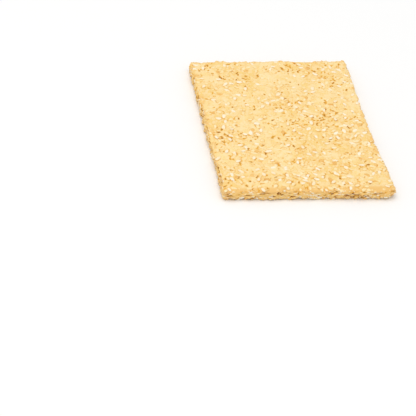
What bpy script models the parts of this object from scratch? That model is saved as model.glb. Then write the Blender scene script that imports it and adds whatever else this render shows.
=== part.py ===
"""A sesame slab: one thin baked piece, longer than it is wide, with uneven cut sides.

The slab lies flat. +X runs along its front edge, +Y along its length and +Z up. The origin lies on the
surface that the slab rests on, below the middle of its outline.

The outline is a rectangle with four unlike corner arcs. Smooth waves then move its sides in and out, as a
knife leaves them in a crumbly slab, and lift and sink the top. The underside is flat, as the tray left it.
"""

import math

import bmesh
import bpy
import numpy as np
from mathutils.geometry import delaunay_2d_cdt

# Overall size, in metres.
WIDTH = 0.0882
LENGTH = 0.1146
THICKNESS = 0.006

# The knife ran a little out of square: the right side is longer than the left by this much.
TAPER = 0.0027

# Corner arcs of the outline. The rolled edge broke off furthest at the back left.
FRONT_RIGHT_RADIUS = 0.0028
BACK_RIGHT_RADIUS = 0.0015
BACK_LEFT_RADIUS = 0.0032
FRONT_LEFT_RADIUS = 0.0016

# The right side curves in at mid length by this much.
RIGHT_HOLLOW = 0.0018

# Each level of a side: its height, as a share of the thickness, and how far it lies inside the outline.
SIDE_LEVELS = (
    (0.0, 0.0008),
    (0.10, 0.0002),
    (0.30, 0.0),
    (0.52, 0.0001),
    (0.74, 0.0),
    (0.91, 0.0003),
    (1.0, 0.0010),
)

# Waves in the cut sides: how far they reach to each side of the outline, and from crest to crest. The
# lower edge is the more ragged one.
BROAD_REACH = 0.00026
BROAD_WAVELENGTH = 0.0110
CRUMB_REACH = 0.00022
CRUMB_WAVELENGTH = 0.0036
LOWER_EDGE_EXTRA = 2.2

# Waves in the top: the depth between the highest and the lowest place, and from crest to crest.
TOP_DEPTH = 0.00045
TOP_WAVELENGTH = 0.0170
RIPPLE_DEPTH = 0.00016
RIPPLE_WAVELENGTH = 0.0075
EDGE_ROLL = 0.00025
EDGE_ROLL_WIDTH = 0.0040

# How fine the surface is.
OUTLINE_STEPS = 320
TOP_STEP = 0.0027
UNDERSIDE_STEP = 0.0090
WAVES_IN_A_SUM = 9

BROAD_SEED = 11
CRUMB_SEED = 12
TOP_SEED = 13
RIPPLE_SEED = 14

BAKED_COLOUR = (0.93, 0.68, 0.31, 1.0)
BAKED_ROUGHNESS = 0.62


def waves(points, seed, wavelength):
    """Smooth uneven values, nearly all from -1 to 1: sines that cross the points in turned directions."""
    rng = np.random.default_rng(seed)
    directions = rng.normal(size=(WAVES_IN_A_SUM, points.shape[1]))
    directions /= np.linalg.norm(directions, axis=1)[:, None]
    lengths = wavelength * rng.uniform(0.7, 1.5, WAVES_IN_A_SUM)
    phases = rng.uniform(0, math.tau, WAVES_IN_A_SUM)
    turns = math.tau * points @ (directions / lengths[:, None]).T + phases
    return np.sin(turns).sum(axis=1) / math.sqrt(2 * WAVES_IN_A_SUM)


def rectangle_outline(steps):
    """Points spaced evenly round the rectangle with its corner arcs, and the outward direction at each."""
    corners = (
        (1, -1, FRONT_RIGHT_RADIUS),
        (1, 1, BACK_RIGHT_RADIUS),
        (-1, 1, BACK_LEFT_RADIUS),
        (-1, -1, FRONT_LEFT_RADIUS),
    )
    centres = [np.array((sx * (WIDTH / 2 - r), sy * (LENGTH / 2 - r))) for sx, sy, r in corners]
    quarter = math.tau / 4
    pieces = []
    for turn, (_, _, radius) in enumerate(corners):
        begin = (turn - 1) * quarter
        leaving = np.array((math.cos(begin + quarter), math.sin(begin + quarter)))
        arc_end = centres[turn] + radius * leaving
        following = (turn + 1) % 4
        straight = np.linalg.norm(centres[following] + corners[following][2] * leaving - arc_end)
        pieces.append((radius * quarter, centres[turn], radius, begin, None))
        pieces.append((straight, arc_end, 0.0, begin + quarter, (-leaving[1], leaving[0])))
    starts = np.concatenate(([0.0], np.cumsum([piece[0] for piece in pieces])))
    along = np.arange(steps) * starts[-1] / steps
    points = np.zeros((steps, 2))
    outward = np.zeros((steps, 2))
    for index, (length, base, radius, begin, direction) in enumerate(pieces):
        here = (along >= starts[index]) & (along < starts[index + 1])
        run = along[here] - starts[index]
        angle = begin + (run / radius if direction is None else np.zeros_like(run))
        facing = np.column_stack((np.cos(angle), np.sin(angle)))
        outward[here] = facing
        if direction is None:
            points[here] = base + radius * facing
        else:
            points[here] = base + run[:, None] * np.array(direction)
    return points, outward


def hand_cut(points):
    """The points as the knife left them: the right side longer than the left, and drawn in at mid length."""
    across = points[:, 0] / WIDTH
    rightness = np.clip(2 * across, 0, 1) ** 2
    moved = points.copy()
    moved[:, 0] -= RIGHT_HOLLOW * rightness * np.cos(math.pi * points[:, 1] / LENGTH) ** 2
    moved[:, 1] *= 1 + TAPER / LENGTH * across
    return moved


def side_ring(points, outward, share, inset):
    """One level of the sides, in three dimensions, with the waves of the cut."""
    level = np.full(len(points), share * THICKNESS)
    spots = np.column_stack((points, level))
    reach = BROAD_REACH * waves(spots, BROAD_SEED, BROAD_WAVELENGTH)
    crumbs = CRUMB_REACH * waves(spots, CRUMB_SEED, CRUMB_WAVELENGTH)
    crumbs *= 1 + (LOWER_EDGE_EXTRA - 1) * (1 - share) ** 2
    out = np.column_stack((outward, np.zeros(len(points))))
    return spots + out * (reach + crumbs - inset)[:, None]


def edge_distance(points):
    """How far inside the rectangle each point lies."""
    return np.minimum(WIDTH / 2 - np.abs(points[:, 0]), LENGTH / 2 - np.abs(points[:, 1]))


def top_height(points):
    """Height of the top: two scales of waves, and a rounding off towards the sides."""
    swell = TOP_DEPTH * (waves(points, TOP_SEED, TOP_WAVELENGTH) - 1) / 2
    ripple = RIPPLE_DEPTH * waves(points, RIPPLE_SEED, RIPPLE_WAVELENGTH) / 2
    near = np.clip(1 - edge_distance(points) / EDGE_ROLL_WIDTH, 0, 1)
    return THICKNESS + swell + ripple - EDGE_ROLL * near**2


def lattice(step, margin):
    """Points in staggered rows that fill the rectangle up to the margin."""
    rows = int((LENGTH - 2 * margin) / (step * math.sqrt(3) / 2)) + 1
    columns = int((WIDTH - 2 * margin) / step)
    ys = np.linspace(margin - LENGTH / 2, LENGTH / 2 - margin, rows)
    xs = (np.arange(columns) - (columns - 1) / 2) * (WIDTH - 2 * margin) / (columns - 0.5)
    grid_x, grid_y = np.meshgrid(xs, ys)
    grid_x += np.where(np.arange(rows) % 2, 0.25, -0.25)[:, None] * step
    return np.column_stack((grid_x.ravel(), grid_y.ravel()))


def fill_ring(bm, ring, inner, upward):
    """Closes a ring of vertices with triangles that also use the inner vertices."""
    verts = ring + inner
    flat = [v.co.to_2d() for v in verts]
    rim = [(i, (i + 1) % len(ring)) for i in range(len(ring))]
    _, _, faces, sources, _, _ = delaunay_2d_cdt(flat, rim, [], 1, 1e-7)
    for face in faces:
        corners = [verts[sources[i][0]] for i in face]
        a, b, c = (v.co.to_2d() for v in corners)
        counterclockwise = (b - a).cross(c - a) > 0
        bm.faces.new(corners if counterclockwise == upward else corners[::-1])


def slab_mesh():
    """The whole slab as one closed mesh: rings joined by bands, a flat underside and an uneven top."""
    bm = bmesh.new()
    base, outward = rectangle_outline(OUTLINE_STEPS)
    base = hand_cut(base)
    rings = []
    for share, inset in SIDE_LEVELS:
        spots = side_ring(base, outward, share, inset)
        if share == 1.0:
            spots[:, 2] = top_height(spots[:, :2])
        rings.append([bm.verts.new(spot) for spot in spots])
    for lower, upper in zip(rings, rings[1:]):
        for i in range(OUTLINE_STEPS):
            j = (i + 1) % OUTLINE_STEPS
            bm.faces.new((lower[i], lower[j], upper[j], upper[i]))
    under = hand_cut(lattice(UNDERSIDE_STEP, UNDERSIDE_STEP / 2))
    fill_ring(bm, rings[0], [bm.verts.new((x, y, 0.0)) for x, y in under], upward=False)
    over = hand_cut(lattice(TOP_STEP, TOP_STEP))
    heights = top_height(over)
    top = [bm.verts.new((x, y, z)) for (x, y), z in zip(over, heights)]
    fill_ring(bm, rings[-1], top, upward=True)
    fit_to_size(bm)
    bmesh.ops.triangulate(bm, faces=[face for face in bm.faces if len(face.verts) > 3])
    mesh = bpy.data.meshes.new("slab")
    bm.to_mesh(mesh)
    bm.free()
    return mesh


def fit_to_size(bm):
    """Centres the slab over the origin and stretches it, by a hair, to its named size."""
    spots = np.array([v.co for v in bm.verts])
    low = spots.min(axis=0)
    scale = np.array((WIDTH, LENGTH, THICKNESS)) / (spots.max(axis=0) - low)
    start = np.array((-WIDTH / 2, -LENGTH / 2, 0.0))
    for vert, spot in zip(bm.verts, start + (spots - low) * scale):
        vert.co = spot


def baked_material():
    """Pale gold, matt, baked sugar dough with seeds in it."""
    material = bpy.data.materials.new("baked_sesame")
    material.use_nodes = True
    shader = material.node_tree.nodes["Principled BSDF"]
    shader.inputs["Base Color"].default_value = BAKED_COLOUR
    shader.inputs["Roughness"].default_value = BAKED_ROUGHNESS
    shader.inputs["Metallic"].default_value = 0.0
    return material


def make_slab(collection):
    """The slab object, shaded smooth with its arrises kept."""
    slab = bpy.data.objects.new("slab", slab_mesh())
    slab.data.materials.append(baked_material())
    slab.data.shade_smooth()
    slab.data.set_sharp_from_angle(angle=math.radians(50))
    collection.objects.link(slab)
    return slab


def main():
    """Clears the scene and builds the slab in its own collection."""
    for old in list(bpy.data.objects):
        bpy.data.objects.remove(old, do_unlink=True)
    collection = bpy.data.collections.new("sesame_slab")
    bpy.context.scene.collection.children.link(collection)
    make_slab(collection)


if __name__ == "__main__":
    main()
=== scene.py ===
"""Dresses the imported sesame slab: its dough, its seeds one by one, its crumbs, and the studio round it.

The slab is a thin baked piece of hulled sesame seeds in a pale sugar dough. It lies flat, +X along its
front edge, +Y along its length and +Z up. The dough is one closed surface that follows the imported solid's
own outline and heights, a little inside them. The seeds are pressed into its faces and stand out of its
cut sides, each at its true size, and are joined into one piece for each kind.
"""

import logging
import math
from dataclasses import dataclass
from dataclasses import field
from enum import Enum
from functools import cached_property

import bpy
import numpy as np
from mathutils import Matrix
from mathutils import Vector


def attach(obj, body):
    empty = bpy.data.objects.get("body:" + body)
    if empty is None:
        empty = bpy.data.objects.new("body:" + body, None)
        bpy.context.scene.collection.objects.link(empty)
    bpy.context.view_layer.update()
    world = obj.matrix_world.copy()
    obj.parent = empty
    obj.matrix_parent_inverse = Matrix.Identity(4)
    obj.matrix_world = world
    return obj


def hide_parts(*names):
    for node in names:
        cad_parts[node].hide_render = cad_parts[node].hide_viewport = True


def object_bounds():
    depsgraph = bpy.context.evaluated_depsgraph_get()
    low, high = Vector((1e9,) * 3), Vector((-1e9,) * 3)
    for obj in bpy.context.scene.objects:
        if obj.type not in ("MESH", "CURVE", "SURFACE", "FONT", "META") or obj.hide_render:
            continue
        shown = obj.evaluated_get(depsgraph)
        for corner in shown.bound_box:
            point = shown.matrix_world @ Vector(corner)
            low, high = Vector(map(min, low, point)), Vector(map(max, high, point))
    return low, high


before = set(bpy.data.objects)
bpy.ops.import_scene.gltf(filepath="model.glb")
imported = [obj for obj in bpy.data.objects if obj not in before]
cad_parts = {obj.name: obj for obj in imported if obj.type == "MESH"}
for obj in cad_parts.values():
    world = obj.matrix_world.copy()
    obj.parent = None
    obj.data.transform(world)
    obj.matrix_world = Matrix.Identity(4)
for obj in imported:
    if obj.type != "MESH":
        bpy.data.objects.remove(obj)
CAD_LOW, CAD_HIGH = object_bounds()

LOG = logging.getLogger("sesame_slab")
NODE = "slab"
BODY = "root"
BAKE_MAP = "OFBake"

MM = 0.001
HAIR = 0.005 * MM
WAVE_SHARE = 0.9
Array = np.ndarray
Socket = bpy.types.NodeSocket
Colour = tuple[float, float, float, float]
Span = tuple[float, float]

# Where a Mix node has its two colours and its mixed one.
FIRST_COLOUR = 6
SECOND_COLOUR = 7
MIXED_COLOUR = 2


def srgb(red: int, green: int, blue: int) -> Colour:
    """Turns a display colour into the linear one that a shader takes.

    Each channel c of 0 to 1 becomes ((c + 0.055) / 1.055) to the power 2.4, or c / 12.92 where it is dark.

    Args:
        red: Red, 0 to 255.
        green: Green, 0 to 255.
        blue: Blue, 0 to 255.

    Returns:
        Linear red, green and blue, and an alpha of 1.
    """
    channels = [c / 255 for c in (red, green, blue)]
    linear = [((c + 0.055) / 1.055) ** 2.4 if c > 0.04045 else c / 12.92 for c in channels]
    return (linear[0], linear[1], linear[2], 1.0)


def waves(points: Array, seed: int, wavelength: float, count: int = 9) -> Array:
    """Smooth uneven values, nearly all from -1 to 1.

    The value is the sum of sines that cross the points in seeded directions, each with its own wavelength
    and phase, over the root of twice their number.

    Args:
        points: Places, one to a row.
        seed: Seed of the directions, wavelengths and phases.
        wavelength: Middle wavelength, in metres.
        count: How many sines are added.

    Returns:
        One value for each point.
    """
    rng = np.random.default_rng(seed)
    directions = rng.normal(size=(count, points.shape[1]))
    directions /= np.linalg.norm(directions, axis=1)[:, None]
    lengths = wavelength * rng.uniform(0.7, 1.5, count)
    phases = rng.uniform(0, math.tau, count)
    turns = math.tau * points @ (directions / lengths[:, None]).T + phases
    return np.sin(turns).sum(axis=1) / math.sqrt(2 * count)


def wave_amounts(points: Array, seed: int, wavelength: float, middle: float, most: float) -> Array:
    """Uneven amounts: a middle plus a share of the waves at the points, held from 0 to a most."""
    return np.clip(middle + WAVE_SHARE * waves(points, seed, wavelength), 0, most)


def ramp(values: Array, low: float, high: float) -> Array:
    """Rises smoothly from 0 at low to 1 at high: 3 t squared less 2 t cubed."""
    t = np.clip((values - low) / (high - low), 0, 1)
    return t * t * (3 - 2 * t)


def grain(points: Array, cell: float | tuple[float, float, float], seed: int) -> Array:
    """Rough uneven values from -1 to 1.

    Every knot of a cubic lattice has a value scrambled from its indices. A point between knots takes their
    blend, weighted along each axis by 3 t squared less 2 t cubed.

    Args:
        points: Places in space, three to a row.
        cell: Size of a lattice cell, in metres, or one size for each axis.
        seed: Seed of the scrambling.

    Returns:
        One value for each point.
    """
    scaled = points / cell
    knot = np.floor(scaled).astype(np.int64)
    part = ramp(scaled - knot, 0, 1)
    primes = np.array((73856093, 19349663, 83492791))
    mask = 0xFFFFFFFF
    total = np.zeros(len(points))
    for corner in np.ndindex(2, 2, 2):
        mixed = ((knot + corner) * primes).sum(axis=1) + seed * 2654435761 & mask
        mixed = (mixed >> 16 ^ mixed) * 0x45D9F3B & mask
        mixed = (mixed >> 16 ^ mixed) * 0x45D9F3B & mask
        weight = np.prod(np.where(corner, part, 1 - part), axis=1)
        total += weight * (mixed >> 16 ^ mixed) / mask
    return 2 * total - 1


def cells(grid: Array) -> Array:
    """Corners of every cell of a grid, counterclockwise where columns run right and rows run up."""
    corners = np.stack((grid[:-1, :-1], grid[:-1, 1:], grid[1:, 1:], grid[1:, :-1]), axis=2)
    return corners.reshape(-1, 4, *grid.shape[2:])


def map_grid(rows: int, columns: int, low: Array, high: Array) -> Array:
    """Spaces places evenly over a rectangle of the map.

    Args:
        rows: How many rows of places.
        columns: How many places in a row.
        low: The rectangle's low corner.
        high: Its high corner.

    Returns:
        Places of two coordinates, by row and column.
    """
    across = np.linspace(low[0], high[0], columns)
    upward = np.linspace(low[1], high[1], rows)
    return np.stack(np.meshgrid(across, upward), axis=-1)


def link_object(name: str, data: bpy.types.ID) -> bpy.types.Object:
    """Makes an object at the origin and links it to the scene.

    Args:
        name: Name of the object.
        data: Its mesh, lamp or camera.

    Returns:
        The object.
    """
    obj = bpy.data.objects.new(name, data)
    bpy.context.scene.collection.objects.link(obj)
    return obj


def make_object(name: str, points: Array, faces: list[Array], places: list[Array]) -> bpy.types.Object:
    """Makes a smooth mesh object at the origin.

    Args:
        name: Name of the object and its mesh.
        points: Vertices, in metres.
        faces: Vertex numbers of the faces, one array for each count of corners.
        places: For each array of faces, the place of every corner on the map.

    Returns:
        The object, linked to the scene.
    """
    mesh = bpy.data.meshes.new(name)
    mesh.from_pydata(points.tolist(), [], [face for block in faces for face in block.tolist()])
    layer = mesh.uv_layers.new(name=BAKE_MAP)
    layer.data.foreach_set("uv", np.concatenate([block.reshape(-1) for block in places]).astype(np.float32))
    mesh.polygons.foreach_set("use_smooth", np.ones(len(mesh.polygons), bool))
    mesh.update()
    return link_object(name, mesh)


def add_values(obj: bpy.types.Object, name: str, values: Array) -> None:
    """Stores one number for each vertex, for the materials to read."""
    layer = obj.data.attributes.new(name, "FLOAT", "POINT")
    layer.data.foreach_set("value", values.astype(np.float32))


def hand_over(obj: bpy.types.Object, material: bpy.types.Material) -> None:
    """Gives a piece its material and its body, and reports it.

    Args:
        obj: The piece.
        material: Its material.
    """
    obj.data.materials.append(material)
    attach(obj, BODY)
    triangles = sum(len(face.vertices) - 2 for face in obj.data.polygons)
    LOG.info("%s: %d vertices, %d triangles", obj.name, len(obj.data.vertices), triangles)


def inside_box(points: Array, depth: Array | float = 0.0) -> Array:
    """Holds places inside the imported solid's box, a hair and a depth from its faces."""
    return np.clip(points, np.array(CAD_LOW) + HAIR + depth, np.array(CAD_HIGH) - HAIR - depth)


# ---------------------------------------------------------------------------------------------------------
# The form of the slab
# ---------------------------------------------------------------------------------------------------------


@dataclass(frozen=True)
class SlabForm:
    """Outline and heights of the slab, by the same rules as its solid.

    The outline is a rectangle with four unlike corner arcs. The knife left the right side a little longer
    than the left and hollow at mid length, and waves move all four sides in and out.
    """

    width: float
    length: float
    thickness: float
    radii: tuple[float, float, float, float] = (2.8 * MM, 1.5 * MM, 3.2 * MM, 1.6 * MM)
    taper: float = 2.7 * MM
    right_hollow: float = 1.8 * MM
    level_shares: tuple[float, ...] = (0.0, 0.10, 0.30, 0.52, 0.74, 0.91, 1.0)
    level_insets: tuple[float, ...] = (0.8 * MM, 0.2 * MM, 0.0, 0.1 * MM, 0.0, 0.3 * MM, 1.0 * MM)
    broad_reach: float = 0.26 * MM
    broad_wavelength: float = 11.0 * MM
    broad_seed: int = 11
    crumb_reach: float = 0.22 * MM
    crumb_wavelength: float = 3.6 * MM
    crumb_seed: int = 12
    lower_edge_extra: float = 2.2
    top_depth: float = 0.45 * MM
    top_wavelength: float = 17.0 * MM
    top_seed: int = 13
    ripple_depth: float = 0.16 * MM
    ripple_wavelength: float = 7.5 * MM
    ripple_seed: int = 14
    edge_roll: float = 0.25 * MM
    edge_roll_width: float = 4.0 * MM
    solid_steps: int = 320
    side_sink: float = 0.08 * MM
    upper_round: float = 0.12 * MM
    lower_round: float = 0.10 * MM
    upper_span: Span = (0.66, 1.0)
    upper_power: float = 1.5
    lower_span: Span = (0.85, 1.0)
    bite: float = 0.30 * MM
    bite_wavelength: float = 7.0 * MM
    bite_seed: int = 21
    bite_middle: float = 0.5
    bite_most: float = 1.3
    chip: float = 0.40 * MM
    chip_wavelength: float = 5.0 * MM
    chip_seed: int = 22
    chip_middle: float = 0.4
    chip_most: float = 1.2
    chip_span: Span = (0.45, 1.0)
    corner_wear: tuple[float, float, float, float] = (1.9 * MM, 0.6 * MM, 0.9 * MM, 0.7 * MM)
    corner_reach: float = 3.0 * MM
    corner_span: Span = (0.25, 1.0)

    @cached_property
    def stretches(self) -> list[tuple[float, Array, float, float]]:
        """The outline's arcs and straights in turn.

        Returns:
            The length, start or centre, radius and first angle of each.
        """
        signs = ((1, -1), (1, 1), (-1, 1), (-1, -1))
        half = np.array((self.width / 2, self.length / 2))
        centres = [np.array(sign) * (half - radius) for sign, radius in zip(signs, self.radii)]
        quarter = math.tau / 4
        found = []
        for turn, radius in enumerate(self.radii):
            begin = (turn - 1) * quarter
            leaving = np.array((math.cos(begin + quarter), math.sin(begin + quarter)))
            arc_end = centres[turn] + radius * leaving
            following = (turn + 1) % 4
            reached = centres[following] + self.radii[following] * leaving
            found.append((radius * quarter, centres[turn], radius, begin))
            found.append((float(np.linalg.norm(reached - arc_end)), arc_end, 0.0, begin + quarter))
        return found

    @cached_property
    def starts(self) -> Array:
        """Distance along the outline at which each stretch starts, and the whole length last."""
        return np.concatenate(([0.0], np.cumsum([stretch[0] for stretch in self.stretches])))

    def outline(self, along: Array) -> tuple[Array, Array]:
        """Places on the outline, and the outward direction at each.

        On an arc of radius r the place is the centre plus r times the facing direction. On a straight it
        is the start plus the run along the facing direction turned a quarter to the left.

        Args:
            along: Distances from the start of the front right arc, counterclockwise.

        Returns:
            Points of two coordinates, and unit directions.
        """
        along = np.mod(along, self.starts[-1])
        points = np.zeros((len(along), 2))
        outward = np.zeros((len(along), 2))
        for index, (_, base, radius, begin) in enumerate(self.stretches):
            here = (along >= self.starts[index]) & (along < self.starts[index + 1])
            run = along[here] - self.starts[index]
            angle = begin + (run / radius if radius else 0 * run)
            facing = np.column_stack((np.cos(angle), np.sin(angle)))
            ahead = np.column_stack((-facing[:, 1], facing[:, 0]))
            outward[here] = facing
            points[here] = base + (radius * facing if radius else run[:, None] * ahead)
        return self.hand_cut(points), outward

    def hand_cut(self, points: Array) -> Array:
        """Moves points as the knife left them: the right side longer than the left, and hollow.

        The right half is drawn in by the hollow times the square of how far right a point lies, times
        the squared cosine of half a turn over the length.

        Args:
            points: Places of two coordinates on or in the rectangle.

        Returns:
            The moved places.
        """
        across = points[:, 0] / self.width
        rightness = np.clip(2 * across, 0, 1) ** 2
        moved = points.copy()
        drawn_in = np.cos(math.pi * points[:, 1] / self.length) ** 2
        moved[:, 0] -= self.right_hollow * rightness * drawn_in
        moved[:, 1] *= 1 + self.taper / self.length * across
        return moved

    def side(self, along: Array, share: Array, inset: Array) -> tuple[Array, Array]:
        """Places on the sides, with the waves of the cut, and the outward direction at each.

        Args:
            along: Distances along the outline.
            share: Heights, as shares of the thickness.
            inset: How far the places lie inside the outline.

        Returns:
            Points in space and level unit directions.
        """
        points, outward = self.outline(along)
        spots = np.column_stack((points, share * self.thickness))
        reach = self.broad_reach * waves(spots, self.broad_seed, self.broad_wavelength)
        crumbs = self.crumb_reach * waves(spots, self.crumb_seed, self.crumb_wavelength)
        crumbs *= 1 + (self.lower_edge_extra - 1) * (1 - share) ** 2
        out = np.column_stack((outward, np.zeros(len(points))))
        return spots + out * (reach + crumbs - inset)[:, None], out

    def inset_at(self, share: Array) -> Array:
        """How far the solid's side lies inside the outline at a height, in straight steps between levels."""
        return np.interp(share, self.level_shares, self.level_insets)

    def top_height(self, points: Array) -> Array:
        """Height of the solid's top: two scales of waves, rolled off towards the sides.

        The roll takes off its depth times the square of how near the side is, from 0 to 1.

        Args:
            points: Places of two coordinates.

        Returns:
            One height for each.
        """
        swell = self.top_depth * (waves(points, self.top_seed, self.top_wavelength) - 1) / 2
        ripple = self.ripple_depth * waves(points, self.ripple_seed, self.ripple_wavelength) / 2
        edge = np.minimum(self.width / 2 - np.abs(points[:, 0]), self.length / 2 - np.abs(points[:, 1]))
        near = np.clip(1 - edge / self.edge_roll_width, 0, 1)
        return self.thickness + swell + ripple - self.edge_roll * near**2

    def dough_side(self, along: Array, share: Array) -> tuple[Array, Array]:
        """Places on the dough's sides.

        They are the solid's, drawn in by a sink, rounder edges, bites and chips. The lower end of each
        corner is worn away.

        Args:
            along: Distances along the outline.
            share: Heights, as shares of the thickness.

        Returns:
            Points in space and level unit directions.
        """
        points, _ = self.outline(along)
        bites = wave_amounts(points, self.bite_seed, self.bite_wavelength, self.bite_middle, self.bite_most)
        chips = wave_amounts(points, self.chip_seed, self.chip_wavelength, self.chip_middle, self.chip_most)
        inset = self.inset_at(share) + self.side_sink + self.bite * bites
        inset = inset + self.upper_round * ramp(share, *self.upper_span) ** self.upper_power
        inset = inset + self.lower_round * ramp(1 - share, *self.lower_span)
        inset = inset + self.chip * chips * ramp(1 - share, *self.chip_span)
        spots, outward = self.side(along, share, inset)
        spots[:, :2] -= self.worn(along) * ramp(1 - share, *self.corner_span)[:, None]
        return spots, outward

    def worn(self, along: Array) -> Array:
        """How far the lower end of each corner is worn away, as moves outward from the middle.

        Each corner's move points the way its arc's middle faces, and its size is a bell curve of the
        distance from there.

        Args:
            along: Distances along the outline.

        Returns:
            Moves of two coordinates.
        """
        whole = self.starts[-1]
        moves = np.zeros((len(along), 2))
        for number, depth in enumerate(self.corner_wear):
            facing = (number - 0.5) * math.tau / 4
            middle = (self.starts[2 * number] + self.starts[2 * number + 1]) / 2
            away = (along - middle + whole / 2) % whole - whole / 2
            bell = depth * np.exp(-((away / self.corner_reach) ** 2))
            moves += bell[:, None] * np.array((math.cos(facing), math.sin(facing)))
        return moves

    @cached_property
    def raw_box(self) -> tuple[Array, Array]:
        """The solid's rings before it is stretched to its named size.

        Returns:
            Their lowest and highest place.
        """
        along = np.arange(self.solid_steps) * self.starts[-1] / self.solid_steps
        levels = np.repeat(self.level_shares, self.solid_steps)
        insets = np.repeat(self.level_insets, self.solid_steps)
        spots, _ = self.side(np.tile(along, len(self.level_shares)), levels, insets)
        return spots[:, :2].min(axis=0), spots[:, :2].max(axis=0)

    def fit(self, points: Array) -> Array:
        """Centres places over the origin and stretches them, by a hair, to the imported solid's size.

        Args:
            points: Places of two coordinates or three.

        Returns:
            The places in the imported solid.
        """
        low, high = self.raw_box
        size = np.array((self.width, self.length))
        fitted = points.copy()
        fitted[:, :2] = (points[:, :2] - low) * size / (high - low) - size / 2
        return fitted


# ---------------------------------------------------------------------------------------------------------
# Finishes
# ---------------------------------------------------------------------------------------------------------


class Bench:
    """Adds nodes to one new material and joins them to its shader."""

    def __init__(self, name: str) -> None:
        """Makes the material and finds its shader.

        Args:
            name: Name of the material.
        """
        self.material = bpy.data.materials.new(name)
        self.material.use_nodes = True
        self.tree = self.material.node_tree
        self.shader = self.tree.nodes["Principled BSDF"]
        self.place = self.tree.nodes.new("ShaderNodeTexCoord").outputs["Object"]

    def put(self, socket: Socket, value: object) -> None:
        """Links a socket to another node's output, or sets its number or colour.

        Args:
            socket: The socket of a node in this material.
            value: Another node's output, a number or a colour.
        """
        if isinstance(value, bpy.types.NodeSocket):
            self.tree.links.new(value, socket)
        else:
            socket.default_value = value

    def node(self, kind: str, inputs: dict[str | int, object], **settings: object) -> bpy.types.Node:
        """Adds a node.

        Args:
            kind: The node's type.
            inputs: What to put to each input, by its name or number.
            settings: The node's own settings.

        Returns:
            The node.
        """
        node = self.tree.nodes.new(kind)
        for name, value in settings.items():
            setattr(node, name, value)
        for key, value in inputs.items():
            self.put(node.inputs[key], value)
        return node

    def values(self, name: str) -> Socket:
        """The number that each vertex holds under a name."""
        return self.node("ShaderNodeAttribute", {}, attribute_name=name).outputs["Fac"]

    def noise(self, size: float, detail: float = 2.0) -> Socket:
        """Noise from 0 to 1, mostly near its middle.

        Args:
            size: Size of its patches, in metres.
            detail: How many finer layers it has.

        Returns:
            The noise.
        """
        inputs = {"Vector": self.place, "Scale": 1 / size, "Detail": detail}
        return self.node("ShaderNodeTexNoise", inputs).outputs["Fac"]

    def remap(self, value: Socket, span: Span, to: Span = (0.0, 1.0)) -> Socket:
        """Stretches a span of values smoothly to another, and holds them outside it.

        Args:
            value: The values.
            span: Where they start and end.
            to: What the start and the end become.

        Returns:
            The new values.
        """
        inputs = {"Value": value, "From Min": span[0], "From Max": span[1], "To Min": to[0], "To Max": to[1]}
        return self.node("ShaderNodeMapRange", inputs, interpolation_type="SMOOTHSTEP").outputs["Result"]

    def combine(self, operation: str, first: object, second: object) -> Socket:
        """A sum, product or other operation on two numbers, held from 0 to 1.

        Args:
            operation: Its name in the shader editor.
            first: The first number.
            second: The second number.

        Returns:
            The outcome.
        """
        node = self.node("ShaderNodeMath", {0: first, 1: second}, operation=operation, use_clamp=True)
        return node.outputs["Value"]

    def blend(self, share: object, first: object, second: object) -> Socket:
        """Mixes two colours, all the first where the share is 0 and all the second where it is 1.

        Args:
            share: The second colour's share.
            first: The first colour.
            second: The second colour.

        Returns:
            The mix.
        """
        inputs = {"Factor": share, FIRST_COLOUR: first, SECOND_COLOUR: second}
        return self.node("ShaderNodeMix", inputs, data_type="RGBA").outputs[MIXED_COLOUR]

    def bump(self, height: Socket, depth: float, below: Socket | None = None) -> Socket:
        """A bump, over another bump if one is given.

        Args:
            height: Its height, from 0 to 1.
            depth: How deep a height of 1 is, in metres.
            below: The normal of the bump below.

        Returns:
            The bumped normal.
        """
        inputs = {"Strength": 1.0, "Distance": depth, "Height": height}
        if below is not None:
            inputs["Normal"] = below
        return self.node("ShaderNodeBump", inputs).outputs["Normal"]

    def finish(self, colour: object, roughness: object, normal: object) -> bpy.types.Material:
        """Joins colour, roughness and normal to the shader.

        Args:
            colour: The base colour.
            roughness: The roughness.
            normal: The bumped normal.

        Returns:
            The finished material.
        """
        self.put(self.shader.inputs["Base Color"], colour)
        self.put(self.shader.inputs["Roughness"], roughness)
        self.put(self.shader.inputs["Normal"], normal)
        return self.material


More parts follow.
